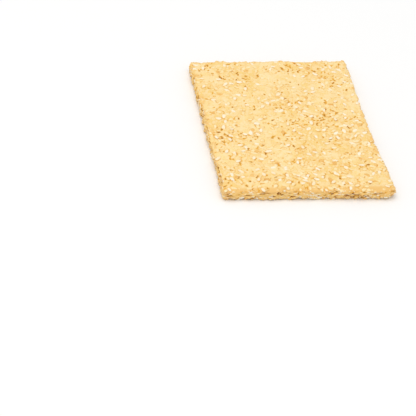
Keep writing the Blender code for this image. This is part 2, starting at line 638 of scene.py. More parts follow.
@dataclass(frozen=True)
class DoughFinish:
    """Baked sugar dough: pale gold with a fine sandy bloom, orange in creases and brown in pits, both partly
    a deeper bake and partly painted shade in the hollows.

    Its vertices hold crease, pit, cut, edge and swell, each from 0 to 1.
    """

    gold: Colour = srgb(248, 219, 151)
    deep_gold: Colour = srgb(243, 205, 121)
    bloom: Colour = srgb(250, 227, 183)
    orange: Colour = srgb(231, 168, 46)
    brown: Colour = srgb(148, 84, 8)
    crumb: Colour = srgb(250, 206, 122)
    # Partly a deeper bake, partly painted shade: the front upper edge's deeper gold.
    edge_gold_and_shade: Colour = srgb(238, 190, 112)
    patch_size: float = 15.0 * MM
    patch_detail: float = 1.5
    patch_span: Span = (0.35, 0.65)
    sand_size: float = 0.5 * MM
    sand_detail: float = 3.0
    sand_depth: float = 0.035 * MM
    bloom_span: Span = (0.48, 0.70)
    bloom_shares: Span = (0.0, 0.6)
    deep_span: Span = (0.30, 0.46)
    deep_shares: Span = (0.35, 0.0)
    swell_share: float = 0.45
    cut_share: float = 0.85
    edge_gold_and_shade_share: float = 0.95
    fleck_size: float = 0.75 * MM
    fleck_span: Span = (0.66, 0.74)
    fleck_share: float = 0.7
    broken_span: Span = (0.38, 0.60)
    broken_least: float = 0.35
    crease_span: Span = (0.17, 0.50)
    rag_size: float = 0.4 * MM
    rag_span: Span = (0.3, 0.7)
    rag_reach: float = 0.16
    pit_span: Span = (0.15, 0.31)
    scorch_size: float = 1.2 * MM
    scorch_span: Span = (0.42, 0.60)
    crease_scorch_and_shade_span: Span = (0.48, 1.0)
    pit_bake_and_shade_span: Span = (0.42, 0.90)
    pit_bake_and_shade_share: float = 0.95
    lump_size: float = 1.7 * MM
    lump_depth: float = 0.06 * MM
    crumb_size: float = 0.7 * MM
    crumb_depth: float = 0.35 * MM
    rough_span: Span = (0.3, 0.7)
    roughness: Span = (0.52, 0.74)

    def build(self) -> bpy.types.Material:
        """Makes the material.

        The golds mix by broad patches and fine sand. Bloom, crumb and the edge's gold lie over them by swell,
        cut and edge; the edge's gold is partly a deeper bake and partly painted shade. Then comes orange
        where there are flecks, creases and ragged pits, and last brown in the deepest of these; in creases
        and pits both are partly a deeper bake and partly painted shade.

        Returns:
            The finished material.
        """
        bench = Bench("baked_dough")
        patches = bench.remap(bench.noise(self.patch_size, self.patch_detail), self.patch_span)
        colour = bench.blend(patches, self.gold, self.deep_gold)
        sand = bench.noise(self.sand_size, self.sand_detail)
        colour = bench.blend(bench.remap(sand, self.bloom_span, self.bloom_shares), colour, self.bloom)
        colour = bench.blend(bench.remap(sand, self.deep_span, self.deep_shares), colour, self.deep_gold)
        layers = (
            ("swell", self.swell_share, self.bloom),
            ("cut", self.cut_share, self.crumb),
            ("edge", self.edge_gold_and_shade_share, self.edge_gold_and_shade),
        )
        for name, most, tint in layers:
            share = bench.remap(bench.values(name), (0.0, 1.0), (0.0, most))
            colour = bench.blend(share, colour, tint)
        flecks = bench.remap(bench.noise(self.fleck_size, 1.0), self.fleck_span, (0.0, self.fleck_share))
        broken = bench.remap(sand, self.broken_span, (self.broken_least, 1.0))
        creases = bench.remap(bench.values("crease"), self.crease_span)
        # Orange: flecks are the dough's own colour; in creases and pits it is partly a deeper bake and partly
        # painted shade in the gaps and hollows.
        baked = bench.combine("MAXIMUM", flecks, bench.combine("MULTIPLY", creases, broken))
        rag = bench.remap(bench.noise(self.rag_size), self.rag_span, (-self.rag_reach, self.rag_reach))
        pit = bench.combine("ADD", bench.values("pit"), rag)
        baked = bench.combine("MAXIMUM", baked, bench.remap(pit, self.pit_span))
        colour = bench.blend(baked, colour, self.orange)
        # Brown in the deepest creases: partly scorching, partly painted shade in the recesses.
        scorched = bench.remap(bench.noise(self.scorch_size), self.scorch_span)
        deepest = bench.remap(bench.values("crease"), self.crease_scorch_and_shade_span)
        crease_scorch_and_shade = bench.combine("MULTIPLY", deepest, scorched)
        # Brown in the depth of pits and side hollows: partly a darker bake, partly painted shade in the
        # recesses.
        pit_bake_and_shade = bench.remap(pit, self.pit_bake_and_shade_span, (0.0, self.pit_bake_and_shade_share))
        colour = bench.blend(bench.combine("MAXIMUM", crease_scorch_and_shade, pit_bake_and_shade), colour, self.brown)
        rough = bench.combine("MULTIPLY", bench.noise(self.crumb_size), bench.values("cut"))
        normal = bench.bump(rough, self.crumb_depth)
        normal = bench.bump(bench.noise(self.lump_size), self.lump_depth, normal)
        normal = bench.bump(sand, self.sand_depth, normal)
        return bench.finish(colour, bench.remap(sand, self.rough_span, self.roughness), normal)


@dataclass(frozen=True)
class SeedFinish:
    """The skin of one kind of seed: the dough's gold at its foot, and its own colour where it is bare.

    Its vertices hold bare, how far out of the dough they are, and tone, which differs from seed to seed.
    """

    name: str
    foot: Colour
    crown: Colour
    warm: Colour
    bare_span: Span
    skin_size: float = 0.35 * MM
    skin_span: Span = (0.35, 0.65)
    skin_tone: float = 0.15
    skin_depth: float = 0.02 * MM
    smear_size: float = 1.1 * MM
    smear_span: Span = (0.35, 0.62)
    smear_reach: Span = (-0.5, 0.15)
    rough_span: Span = (0.3, 0.7)
    roughness: Span = (0.42, 0.60)

    def build(self) -> bpy.types.Material:
        """Mixes crown and warm by each seed's tone, and the foot's colour where the dough covers it.

        Returns:
            The finished material.
        """
        bench = Bench(self.name)
        skin = bench.noise(self.skin_size)
        tones = bench.remap(skin, self.skin_span, (-self.skin_tone, self.skin_tone))
        own = bench.combine("ADD", bench.values("tone"), tones)
        colour = bench.blend(own, self.crown, self.warm)
        smears = bench.remap(bench.noise(self.smear_size, 1.0), self.smear_span, self.smear_reach)
        bare = bench.combine("ADD", bench.values("bare"), smears)
        colour = bench.blend(bench.remap(bare, self.bare_span), self.foot, colour)
        normal = bench.bump(skin, self.skin_depth)
        return bench.finish(colour, bench.remap(skin, self.rough_span, self.roughness), normal)


# ---------------------------------------------------------------------------------------------------------
# Seeds
# ---------------------------------------------------------------------------------------------------------


class SeedKind(Enum):
    """What the knife, the oven and the dough did to a seed. Each value is the name of its piece."""

    BARE = "seeds_bare"
    PALE = "seeds_pale"
    TOASTED = "seeds_toasted"
    GLAZED = "seeds_glazed"
    CUT = "seeds_cut"


GOLD = srgb(244, 201, 124)
FINISHES: dict[SeedKind, SeedFinish] = {
    SeedKind.BARE: SeedFinish(
        "bare_seed", GOLD, srgb(252, 241, 215), srgb(251, 231, 192), (0.0, 0.75)
    ),
    SeedKind.PALE: SeedFinish(
        "pale_seed", GOLD, srgb(251, 232, 184), srgb(249, 223, 164), (0.05, 0.80)
    ),
    SeedKind.TOASTED: SeedFinish(
        "toasted_seed", srgb(242, 192, 110), srgb(245, 203, 124), srgb(232, 174, 86), (0.1, 0.7)
    ),
    SeedKind.GLAZED: SeedFinish(
        "glazed_seed", srgb(243, 201, 126), srgb(249, 221, 162), srgb(246, 212, 144), (0.15, 0.8)
    ),
    SeedKind.CUT: SeedFinish(
        "cut_seed", GOLD, srgb(254, 246, 226), srgb(247, 230, 194), (0.1, 0.6)
    ),
}


@dataclass(frozen=True)
class SeedShape:
    """A small rounded solid, such as one hulled sesame seed: blunt at one end and pointed at the other.

    At x from -1 to 1 along its length the half width is the root of (1 - x squared) times
    (1 - point x), so that it is widest nearer the blunt end. Round the axis, at angle t, the place is
    (width cos t, height sin t), each times the half width at x.
    """

    around: int = 9
    along: int = 6
    point: float = 0.28

    @cached_property
    def points(self) -> Array:
        """The shape's vertices.

        Returns:
            The blunt end, the rings, and the tip, in units of the half sizes.
        """
        turn = math.pi * np.arange(1, self.along) / self.along
        x = -np.cos(turn)
        half = np.sqrt(1 - x * x) * (1 - self.point * x)
        half /= half.max()
        t = math.tau * np.arange(self.around) / self.around
        long_way = np.broadcast_to(x[:, None], (len(x), self.around))
        ring = np.stack((long_way, half[:, None] * np.cos(t), half[:, None] * np.sin(t)), axis=-1)
        return np.concatenate(([[-1.0, 0, 0]], ring.reshape(-1, 3), [[1.0, 0, 0]]))

    @cached_property
    def faces(self) -> list[Array]:
        """The shape's faces, all facing out.

        Returns:
            Quads between the rings, and triangles to both ends.
        """
        around = np.arange(self.around + 1) % self.around
        rings = 1 + np.arange(self.along - 1)[:, None] * self.around + around
        tip = len(self.points) - 1
        first, last = rings[0], rings[-1]
        blunt = np.stack((0 * first[:-1], first[1:], first[:-1]), axis=1)
        point = np.stack((0 * last[:-1] + tip, last[:-1], last[1:]), axis=1)
        return [cells(rings), np.concatenate((blunt, point))]

    @cached_property
    def places(self) -> list[Array]:
        """The corners on a unit square: once round from left to right, and length upwards.

        Returns:
            The place of every corner, for the quads and the triangles.
        """
        step = 1 / self.along
        low, high = np.array((0.0, step)), np.array((1.0, 1 - step))
        grid = map_grid(self.along - 1, self.around + 1, low, high)
        turns = np.arange(self.around) / self.around
        after = turns + 1 / self.around
        middle = (turns + after) / 2
        near, far = 0 * turns + step, 0 * turns + 1 - step
        blunt = np.stack((middle, 0 * turns, after, near, turns, near), axis=1).reshape(-1, 3, 2)
        point = np.stack((middle, 0 * turns + 1, turns, far, after, far), axis=1).reshape(-1, 3, 2)
        return [cells(grid), np.concatenate((blunt, point))]


@dataclass(frozen=True)
class SeedSizes:
    """Half sizes of hulled sesame, and how much they vary."""

    length: float = 1.56 * MM
    width: float = 0.95 * MM
    height: float = 0.43 * MM
    spread: float = 0.12

    def draw(self, rng: np.random.Generator, count: int) -> Array:
        """Draws half sizes: each seed's own scale, times a smaller change of each axis.

        Args:
            rng: Source of the draws.
            count: How many seeds.

        Returns:
            Three half sizes for each seed.
        """
        own = 1 + self.spread * rng.standard_normal((count, 1)).clip(-2, 2)
        axis = 1 + self.spread / 2 * rng.standard_normal((count, 3)).clip(-2, 2)
        return np.array((self.length, self.width, self.height)) * own * axis


@dataclass
class SeedBatch:
    """Many seeds: where each is seated, how it lies, its size, its tone and where it was pressed flat."""

    centres: Array
    axes: Array
    halves: Array
    normals: Array
    lifts: Array
    limits: Array
    tones: Array

    @classmethod
    def seated(
        cls,
        spots: Array,
        normals: Array,
        forward: Array,
        upward: Array,
        halves: Array,
        poke: Array,
        limits: Array,
        tones: Array,
    ) -> "SeedBatch":
        """Seats seeds so that each stands out of the dough by a given height.

        The wide direction is upward crossed with forward, and the thin one is forward crossed with the
        wide one. A seed's extent along the normal is the root of the sum of the squares of each half size
        times the cosine of its axis to the normal, and its centre lies its extent less its poke deep.

        Args:
            spots: Places on the dough.
            normals: Outward directions there.
            forward: Where the tips point.
            upward: Roughly where the flat sides face.
            halves: Half sizes.
            poke: How far each seed stands out.
            limits: Height above the dough at which each is pressed or cut flat.
            tones: A number from 0 to 1 for each seed's colour.

        Returns:
            The seated seeds.
        """
        long_way = forward / np.linalg.norm(forward, axis=1)[:, None]
        wide_way = np.cross(upward, long_way)
        wide_way /= np.linalg.norm(wide_way, axis=1)[:, None]
        axes = np.stack((long_way, wide_way, np.cross(long_way, wide_way)), axis=1)
        facing = np.einsum("nij,nj->ni", axes, normals)
        lifts = poke - np.sqrt(((halves * facing) ** 2).sum(axis=1))
        return cls(spots + normals * lifts[:, None], axes, halves, normals, lifts, limits, tones)

    def parts(self) -> tuple[Array, ...]:
        """Its arrays in order."""
        return tuple(vars(self).values())

    def picked(self, which: Array) -> "SeedBatch":
        """The seeds that a mask picks."""
        return SeedBatch(*(part[which] for part in self.parts()))

    def joined(self, other: "SeedBatch") -> "SeedBatch":
        """Both batches in one."""
        return SeedBatch(*(np.concatenate(pair) for pair in zip(self.parts(), other.parts())))


@dataclass
class SeedPiece:
    """All seeds of one kind as one object, each a copy of one shape by its own axes and half sizes."""

    name: str
    batch: SeedBatch
    finish: SeedFinish
    shape: SeedShape = field(default_factory=SeedShape)
    wobble: float = 0.06
    wobble_cell: float = 0.9 * MM
    seed: int = 71
    flat_spread: float = 0.03 * MM

    def build(self) -> bpy.types.Object:
        """Makes the seeds and hands the piece over.

        A vertex is the centre plus each axis times its half size times the shape's coordinate, scaled by a
        little grain. What would stand higher above the dough than the seed's limit is set down to it.
        Seeds pressed against the solid's box end at unlike depths, so that no two of them share a plane.

        Returns:
            The finished piece.
        """
        batch = self.batch
        count, per_seed = len(batch.tones), len(self.shape.points)
        offsets = np.einsum("nvk,nkj->nvj", self.shape.points * batch.halves[:, None], batch.axes)
        raw = (batch.centres[:, None] + offsets).reshape(-1, 3)
        uneven = 1 + self.wobble * grain(raw, self.wobble_cell, self.seed)
        offsets *= uneven.reshape(count, per_seed, 1)
        above = (offsets * batch.normals[:, None]).sum(axis=2) + batch.lifts[:, None]
        over = np.clip(above - batch.limits[:, None], 0, None)
        offsets -= over[..., None] * batch.normals[:, None]
        depth = self.flat_spread * np.repeat(batch.tones, per_seed)[:, None]
        points = inside_box((batch.centres[:, None] + offsets).reshape(-1, 3), depth)
        crown = np.maximum(np.minimum(above.max(axis=1), batch.limits), HAIR)
        bare = np.clip(above / crown[:, None], 0, 1)
        obj = make_object(self.name, points, self.all_faces(count, per_seed), self.all_places(count))
        add_values(obj, "bare", bare.ravel())
        add_values(obj, "tone", np.repeat(batch.tones, per_seed))
        hand_over(obj, self.finish.build())
        return obj

    def all_faces(self, count: int, per_seed: int) -> list[Array]:
        """Faces of so many copies of the shape, each with so many vertices."""
        first = np.arange(count)[:, None, None] * per_seed
        return [(block[None] + first).reshape(-1, block.shape[1]) for block in self.shape.faces]

    def all_places(self, count: int, margin: float = 0.06) -> list[Array]:
        """Places on the map: each copy has its own cell of a square grid of cells.

        Args:
            count: How many copies.
            margin: What each copy leaves free at its cell's sides, as a share of the cell.

        Returns:
            The place of every corner, one array for each array of faces.
        """
        side = math.ceil(math.sqrt(count))
        number = np.arange(count)
        corner = np.column_stack((number % side, number // side))[:, None, None]
        blocks = []
        for block in self.shape.places:
            inner = margin + (1 - 2 * margin) * block[None]
            blocks.append(((corner + inner) / side).reshape(-1, block.shape[1], 2))
        return blocks


def spread_evenly(rng: np.random.Generator, count: int, size: Array, reach: float, rounds: int = 12) -> Array:
    """Scatters places over a rectangle and lets near ones push each other apart.

    In each round a place moves away from every other within reach, by half of what they lack of it,
    averaged over those neighbours.

    Args:
        rng: Source of the first places.
        count: How many places.
        size: Width and length of the rectangle about the origin.
        reach: Distance below which two places push.
        rounds: How often they push.

    Returns:
        Places of two coordinates.
    """
    spots = (rng.random((count, 2)) - 0.5) * size
    for _ in range(rounds):
        apart = spots[:, None] - spots[None]
        distance = np.sqrt((apart**2).sum(axis=2)) + 1e-9
        lack = np.clip(reach - distance, 0, None)
        np.fill_diagonal(lack, 0)
        push = (apart / distance[..., None] * lack[..., None]).sum(axis=1) / 2
        spots += push / np.maximum((lack > 0).sum(axis=1), 1)[:, None]
        spots = np.clip(spots, -size / 2, size / 2)
    return spots


# ---------------------------------------------------------------------------------------------------------
# The two faces
# ---------------------------------------------------------------------------------------------------------


@dataclass
class Sheet:
    """The dough's top or underside: a grid of places with a height, a relief and the values of its finish.

    The grid is the rectangle, cut as the outline is. Near its rim each place also moves as the rim's waves
    do: by the blend of the two sides along, plus the two across, less the four corners, and this fades
    with the distance from the side. The rim also falls away, as two parabolas of that distance, one broad
    and one narrow, and by a smaller share on the underside.
    """

    form: SlabForm
    upward: bool
    across: int = 176
    along: int = 229
    sink: float = 0.20 * MM
    wave_fade: float = 4.5 * MM
    rim_drops: Span = (0.14 * MM, 0.14 * MM)
    under_share: float = 0.5
    rim_widths: Span = (3.8 * MM, 1.6 * MM)
    rim_waver: float = 0.8
    rim_wavelength: float = 6.0 * MM
    rim_crumb: float = 0.25
    flat_depth: float = 0.045 * MM
    under_wave: float = 0.05 * MM
    under_wavelength: float = 9.0 * MM
    grain_depths: Span = (0.05 * MM, 0.035 * MM)
    grain_sizes: Span = (2.1 * MM, 1.05 * MM)
    seed: int = 31

    def __post_init__(self) -> None:
        """Works out the places and heights, and starts the values at nothing."""
        share = 1.0 if self.upward else 0.0
        self.sign = 1.0 if self.upward else -1.0
        form = self.form
        round_off = form.upper_round if self.upward else form.lower_round + form.chip / 2
        inset = float(form.inset_at(share)) + form.side_sink + round_off + form.bite / 2
        self.size = np.array((form.width, form.length)) - 2 * inset
        half = self.size / 2
        flat = map_grid(self.along + 1, self.across + 1, -half, half)
        calm = form.hand_cut(flat.reshape(-1, 2)).reshape(flat.shape)
        distances = self.rim_distances()
        rim, _ = form.dough_side(distances, np.full(len(distances), share))
        raw = calm + self.patch(rim[:, :2] - self.rim_of(calm))
        self.spots = form.fit(raw.reshape(-1, 2))
        edge = (self.size / 2 - np.abs(flat)).min(axis=-1).ravel()
        near = 1 - ramp(edge, 0, self.rim_widths[0])
        fall = np.zeros(len(edge))
        for drop, width in zip(self.rim_drops, self.rim_widths):
            fall += drop * np.clip(1 - edge / width, 0, 1) ** 2
        fall *= 1 + self.rim_waver * waves(self.spots, self.seed + 7, self.rim_wavelength)
        fall *= 1.0 if self.upward else self.under_share
        self.base = self.calm_height(raw.reshape(-1, 2)) - self.sign * fall
        places = np.column_stack((self.spots, self.base))
        relief = np.zeros(len(places))
        for number, (depth, size) in enumerate(zip(self.grain_depths, self.grain_sizes)):
            relief += depth * grain(places, size, self.seed + number)
        self.relief = relief
        self.crease = np.zeros(len(places))
        self.pit = np.zeros(len(places))
        self.swell = np.zeros(len(places))
        self.cut = self.rim_crumb * near

    def calm_height(self, raw: Array) -> Array:
        """Height of the dough before its relief: below the solid's top, or above what it rests on.

        Args:
            raw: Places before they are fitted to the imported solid.

        Returns:
            One height for each.
        """
        if self.upward:
            return self.form.top_height(raw) - self.sink
        return self.sink + self.under_wave * waves(raw, self.seed + 5, self.under_wavelength)

    def rim_distances(self) -> Array:
        """Spaces the rim's places along the outline, each side from one arc's middle to the next.

        Returns:
            Distances along the outline, from the middle of the front right arc.
        """
        starts = self.form.starts
        quarters = [(starts[2 * k] + starts[2 * k + 1]) / 2 for k in range(4)]
        quarters.append(quarters[0] + starts[-1])
        counts = (self.along, self.across, self.along, self.across)
        runs = [np.linspace(quarters[k], quarters[k + 1], n, endpoint=False) for k, n in enumerate(counts)]
        return np.concatenate(runs)

    @staticmethod
    def rim_of(grid: Array) -> Array:
        """The rim of a grid, counterclockwise from its front right corner."""
        return np.concatenate((grid[:-1, -1], grid[-1, :0:-1], grid[:0:-1, 0], grid[0, :-1]))

    def patch(self, rim: Array) -> Array:
        """Spreads moves at the rim over the grid, fading with the distance from each side.

        Args:
            rim: Moves of the rim's places, counterclockwise from the front right corner.

        Returns:
            Moves of all places, rows along +Y.
        """
        ny, nx = self.along, self.across
        right = rim[: ny + 1]
        back = rim[ny : ny + nx + 1][::-1]
        left = rim[ny + nx : 2 * ny + nx + 1][::-1]
        front = np.concatenate((rim[2 * ny + nx :], rim[:1]))
        u = np.linspace(0, 1, nx + 1)[None, :, None]
        v = np.linspace(0, 1, ny + 1)[:, None, None]
        wide, deep = self.wave_fade / self.size
        by_left, by_right = 1 - ramp(u, 0, wide), ramp(u, 1 - wide, 1)
        by_front, by_back = 1 - ramp(v, 0, deep), ramp(v, 1 - deep, 1)
        moves = by_front * front[None] + by_back * back[None]
        moves = moves + by_left * left[:, None] + by_right * right[:, None]
        corners = by_left * by_front * front[0] + by_right * by_front * front[-1]
        return moves - corners - by_left * by_back * back[0] - by_right * by_back * back[-1]

    def nearest(self, flat: Array) -> tuple[Array, Array]:
        """Finds the grid place nearest each place.

        Args:
            flat: Places of the uncut rectangle.

        Returns:
            Their columns and their rows.
        """
        steps = np.array((self.across, self.along))
        found = np.rint((flat / self.size + 0.5) * steps).astype(int)
        found = np.clip(found, 0, steps)
        return found[:, 0], found[:, 1]

    def seats(self, flat: Array) -> tuple[Array, Array]:
        """Places on the dough, and the outward direction at each.

        Args:
            flat: Places of the uncut rectangle.

        Returns:
            Points in space and unit directions.
        """
        column, row = self.nearest(flat)
        number = row * (self.across + 1) + column
        cell = self.size / (self.across, self.along)
        exact = flat + self.size / 2 - np.column_stack((column, row)) * cell
        spots = np.column_stack((self.spots[number] + exact, self.base[number]))
        heights = self.base.reshape(self.along + 1, self.across + 1)
        slope_y, slope_x = np.gradient(heights, cell[1], cell[0])
        normals = np.column_stack((-slope_x.ravel()[number], -slope_y.ravel()[number], 1 + 0 * column))
        normals /= np.linalg.norm(normals, axis=1)[:, None]
        return spots, normals * self.sign

    def around(self, flat: Array, reach: float) -> tuple[Array, Array]:
        """The grid places round each place.

        Args:
            flat: Places of the uncut rectangle.
            reach: How far to look.

        Returns:
            Numbers of the grid places, one row to a place, and their offsets from it.
        """
        column, row = self.nearest(flat)
        cell = self.size / (self.across, self.along)
        steps = math.ceil(reach / cell.min())
        step = np.arange(-steps, steps + 1)
        columns = np.clip(column[:, None, None] + step[None, None, :], 0, self.across)
        rows = np.clip(row[:, None, None] + step[None, :, None], 0, self.along)
        numbers = (rows * (self.across + 1) + columns).reshape(len(flat), -1)
        spots, _ = self.seats(flat)
        return numbers, self.spots[numbers] - spots[:, None, :2]

    def points(self) -> Array:
        """Finished vertices: each place at its height, moved out by its relief."""
        height = self.base + self.sign * self.relief
        return inside_box(np.column_stack((self.spots, height)), self.flat_depth)


def keep_largest(values: Array, numbers: Array, found: Array) -> None:
    """Raises stored values to what is found, where that is more."""
    np.maximum.at(values, numbers.ravel(), found.ravel())


def turned(away: Array, turns: Array, long_half: Array, short_half: Array) -> tuple[Array, Array]:
    """Offsets along and across ellipses that are each turned their own way.

    Args:
        away: Offsets from the centres, one row to an ellipse.
        turns: The ellipses' turns.
        long_half: Their half lengths.
        short_half: Their half widths.

    Returns:
        Offsets along over the half length, and across over the half width.
    """
    cos, sin = np.cos(turns)[:, None], np.sin(turns)[:, None]
    ahead = (away[..., 0] * cos + away[..., 1] * sin) / long_half[:, None]
    aside = (away[..., 1] * cos - away[..., 0] * sin) / short_half[:, None]
    return ahead, aside


@dataclass
class SeedBed:
    """The seeds that lie in one face of the slab, from bare ones to those under the dough.

    A seed's exposure is its own chance, plus a broad wave over the face and a slope towards the front,
    less a set amount beside a more exposed seed. The most exposed are bare, the next pale, then toasted,
    then glazed, and the least are only swellings under the dough.

    The spans of the ring, the rise and the swell are shares of the way from a seed's centre to its
    outline. The rises, and the half sizes of the gaps (pit_long and pit_short), are in millimetres.
    """

    sheet: Sheet
    seed: int
    count: int = 2050
    shares: tuple[float, float, float, float] = (0.084, 0.168, 0.022, 0.41)
    pokes: tuple[Span, ...] = (
        (0.40 * MM, 0.58 * MM),
        (0.28 * MM, 0.44 * MM),
        (0.28 * MM, 0.46 * MM),
        (0.12 * MM, 0.28 * MM),
        (0.0, 0.0),
    )
    pressed: Span = (0.12 * MM, 0.31 * MM)
    limit: float = 1.0 * MM
    edge: float = 0.5 * MM
    reach: float = 2.4 * MM
    patch_wavelength: float = 12.0 * MM
    patch_share: float = 0.15
    front_share: float = 0.25
    thin_reach: float = 3.0 * MM
    thin_share: float = 0.7
    tilt: float = 0.08
    ring_look: float = 2.6 * MM
    ring_inner: Span = (0.80, 1.15)
    ring_outer: Span = (1.20, 1.75)
    ring_depth: float = 0.28 * MM
    ring_strengths: tuple[float, ...] = (0.95, 0.8, 0.9, 0.55, 0.25)
    gap_power: float = 1.5
    gap_front_share: float = 0.3
    # The side where each crease's painted shade is strongest, as a shadow would fall, and its spread.
    shade_side: float = -0.9
    shade_spread: float = 1.3
    shade_least: float = 0.2
    shade_span: Span = (-0.1, 0.8)
    rises: tuple[float, ...] = (0.05, 0.06, 0.05, 0.09, 0.17)
    rise_span: Span = (0.6, 1.6)
    swell_span: Span = (0.5, 1.3)
    pit_groups: int = 240
    pit_members: int = 6
    pit_scatter: float = 2.4 * MM
    pit_long: Span = (0.5, 1.5)
    pit_short: Span = (0.42, 0.62)
    pit_power: float = 1.3
    pit_least: float = 0.3
    pit_look: float = 1.6 * MM
    pit_depth: float = 0.28 * MM
    sizes: SeedSizes = field(default_factory=SeedSizes)

    def __post_init__(self) -> None:
        """Draws the seeds' places, turns, sizes and kinds."""
        rng = np.random.default_rng(self.seed)
        self.flat = spread_evenly(rng, self.count, self.sheet.size - 2 * self.edge, self.reach)
        self.turns = rng.uniform(0, math.tau, self.count)
        self.halves = self.sizes.draw(rng, self.count)
        patches = waves(self.flat, self.seed + 1, self.patch_wavelength)
        exposure = self.thinned(self.patch_share * patches + rng.standard_normal(self.count))
        forwardness = -2 * self.flat[:, 1] / self.sheet.size[1]
        exposure += self.front_share * forwardness
        order = np.argsort(np.argsort(-exposure)) / self.count
        self.rank = np.searchsorted(np.cumsum(self.shares), order, side="right")
        low, high = np.array(self.pokes)[self.rank].T
        self.poke = low + (high - low) * rng.random(self.count)
        self.tones = rng.random(self.count)
        self.leans = self.tilt * rng.standard_normal((self.count, 3))
        self.gap = rng.random(self.count) ** self.gap_power * (1 + self.gap_front_share * forwardness)
        self.shaded_gap_turns = self.shade_side + self.shade_spread * rng.standard_normal(self.count)
        self.rng = rng

    def thinned(self, exposure: Array) -> Array:
        """Takes a set amount from every seed beside a more exposed one, so that few bare ones touch.

        Args:
            exposure: Each seed's exposure.

        Returns:
            The new exposures.
        """
        apart = np.linalg.norm(self.flat[:, None] - self.flat[None], axis=2)
        most = np.where(apart < self.thin_reach, exposure[None], -np.inf).max(axis=1)
        return exposure - self.thin_share * (most > exposure)

    def press(self) -> None:
        """Shapes the dough round the seeds.

        At e, the distance from a seed's centre over its outline's, the dough rises over a covered seed as
        1 less a ramp of e, and sinks round a bare one in a ring just outside its outline, deepest to the
        shaded side. The ring is the crease's colour too: partly a deeper bake, and partly painted shade in
        the gap, strongest on that side.
        """
        sheet = self.sheet
        covered = len(self.shares)
        numbers, away = sheet.around(self.flat, self.ring_look)
        ahead, aside = turned(away, self.turns, self.halves[:, 0], self.halves[:, 1])
        e = np.hypot(ahead, aside)
        # Painted shade: each crease is strongest on its seed's shaded side.
        facing = np.arctan2(away[..., 1], away[..., 0]) - self.shaded_gap_turns[:, None]
        one_side = self.shade_least + (1 - self.shade_least) * ramp(np.cos(facing), *self.shade_span)
        ring = ramp(e, *self.ring_inner) * (1 - ramp(e, *self.ring_outer)) * one_side
        strength = np.array(self.ring_strengths)[self.rank] * self.gap
        crease = ring * strength[:, None]
        keep_largest(sheet.crease, numbers, crease)
        sunk = np.zeros(len(sheet.base))
        keep_largest(sunk, numbers, self.ring_depth * crease)
        rise = np.array(self.rises)[self.rank] * MM
        raised = np.zeros(len(sheet.base))
        keep_largest(raised, numbers, rise[:, None] * (1 - ramp(e, *self.rise_span)))
        swell = (1 - ramp(e, *self.swell_span)) * (self.rank == covered)[:, None]
        keep_largest(sheet.swell, numbers, swell)
        sheet.relief += raised - sunk

    def sink_pits(self) -> None:
        """Sinks small gaps in groups, each an ellipse turned its own way.

        At e, the distance from a gap's centre over its outline's, its depth is the root of 1 less e squared.
        The same value paints the gap orange and its depth brown, partly a deeper bake and partly painted
        shade.
        """
        rng, sheet = self.rng, self.sheet
        groups = (rng.random((self.pit_groups, 2)) - 0.5) * (sheet.size - 2 * self.edge)
        members = rng.integers(1, self.pit_members + 1, self.pit_groups)
        flat = np.repeat(groups, members, axis=0)
        flat += rng.standard_normal(flat.shape) * self.pit_scatter
        long_half = rng.uniform(*self.pit_long, len(flat)) * MM
        short_half = rng.uniform(*self.pit_short, len(flat)) * MM
        turns = rng.uniform(0, math.tau, len(flat))
        strength = self.pit_least + (1 - self.pit_least) * rng.random(len(flat)) ** self.pit_power
        numbers, away = sheet.around(flat, self.pit_look)
        ahead, aside = turned(away, turns, long_half, short_half)
        inside = np.clip(1 - ahead**2 - aside**2, 0, 1)
        keep_largest(sheet.pit, numbers, np.sqrt(inside) * strength[:, None])
        sheet.relief -= self.pit_depth * sheet.pit

    def batches(self) -> dict[SeedKind, SeedBatch]:
        """Seats the seeds and sorts them by kind.

        Returns:
            The seated seeds of the four kinds that show in a face.
        """
        spots, normals = self.sheet.seats(self.flat)
        forward = np.column_stack((np.cos(self.turns), np.sin(self.turns), self.leans[:, 2]))
        limits = np.minimum(self.rng.uniform(*self.pressed, self.count), self.limit)
        batch = SeedBatch.seated(
            spots, normals, forward, normals + self.leans, self.halves, self.poke, limits, self.tones
        )
        kinds = (SeedKind.BARE, SeedKind.PALE, SeedKind.TOASTED, SeedKind.GLAZED)
        return {kind: batch.picked(self.rank == number) for number, kind in enumerate(kinds)}


# ---------------------------------------------------------------------------------------------------------
# The cut sides
# ---------------------------------------------------------------------------------------------------------


